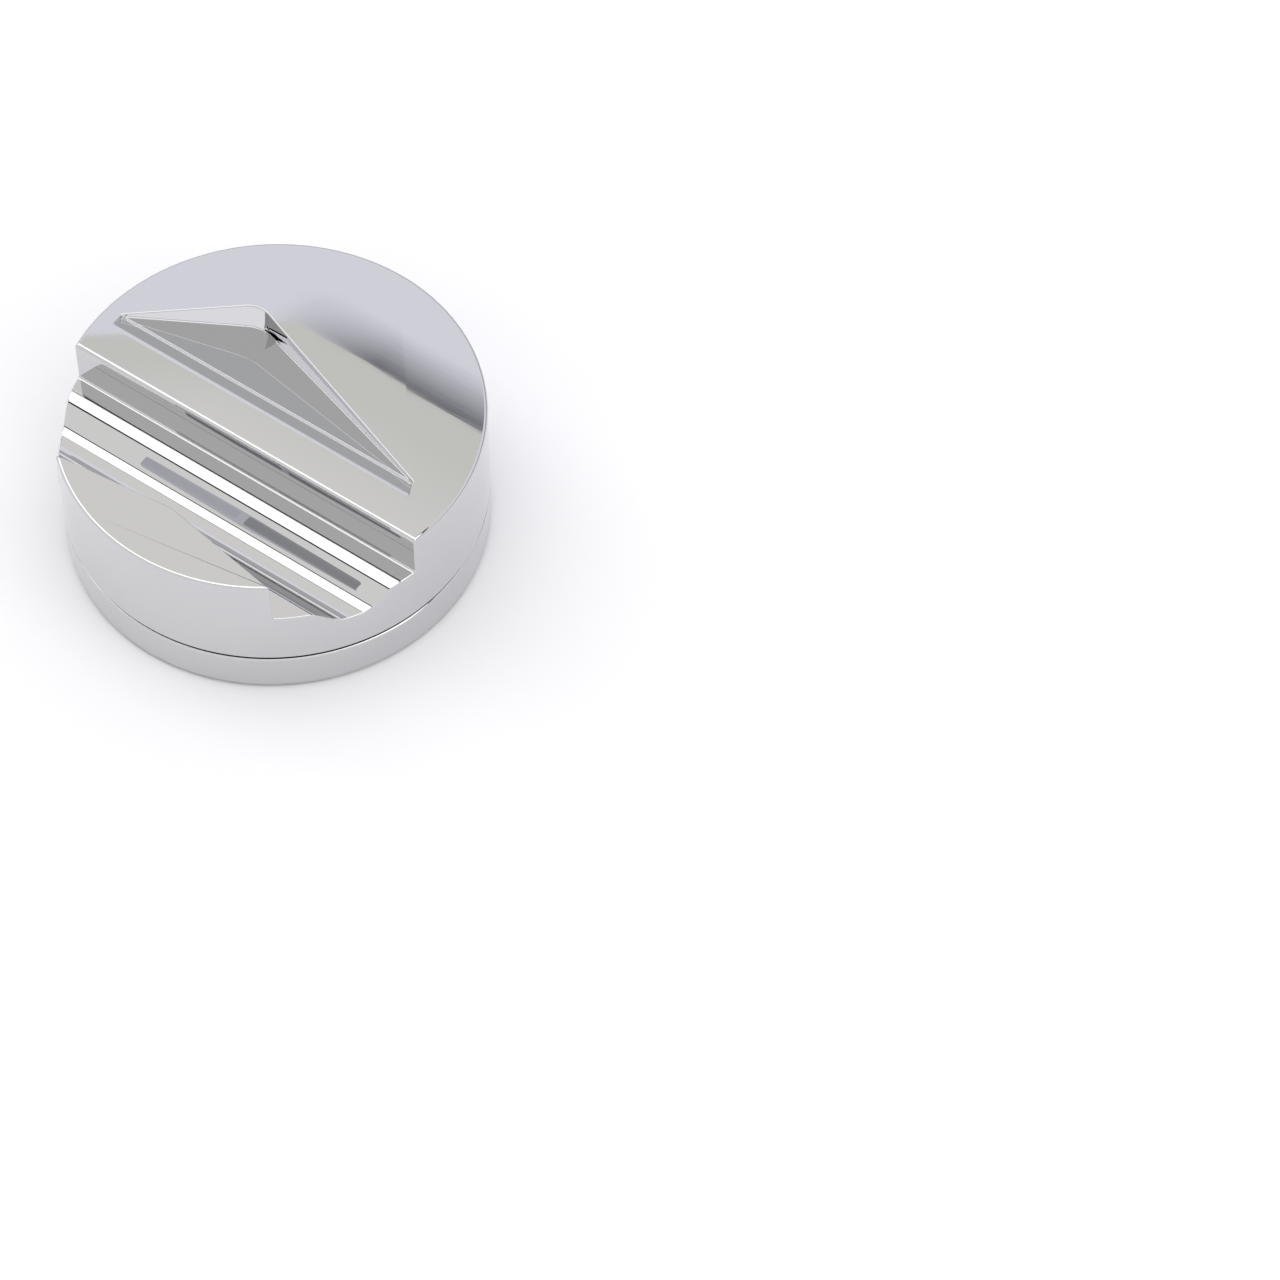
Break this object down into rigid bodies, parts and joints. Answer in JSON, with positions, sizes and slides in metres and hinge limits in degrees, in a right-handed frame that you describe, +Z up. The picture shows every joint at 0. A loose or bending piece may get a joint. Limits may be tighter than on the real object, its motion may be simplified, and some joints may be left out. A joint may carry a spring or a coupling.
{
  "type": "razor stand",
  "caption": "Round chromed stand with a through slot and a sloping pocket in its top that hold a cartridge razor's head.",
  "frame": {"origin": "centre of the round resting face, at the bottom of the foot pad", "axes": "+X along the slot, +Y from the slot's open front towards the pocket at the back, +Z up"},
  "size_m": [0.042, 0.042, 0.0164],
  "materials": {
    "body_chrome": "bright polished chrome plate",
    "plate_chrome": "bright polished chrome plate",
    "weight_steel": "plain sawn steel",
    "pad_rubber": "matt fine-textured rubber",
    "screw_steel": "zinc-plated steel"
  },
  "bodies": {
    "root": {"stand_body": "body_chrome", "base_plate": "plate_chrome", "weight_disc": "weight_steel", "foot_pad": "pad_rubber", "screw_1": "screw_steel", "screw_2": "screw_steel", "screw_3": "screw_steel"}
  },
  "joints": []
}
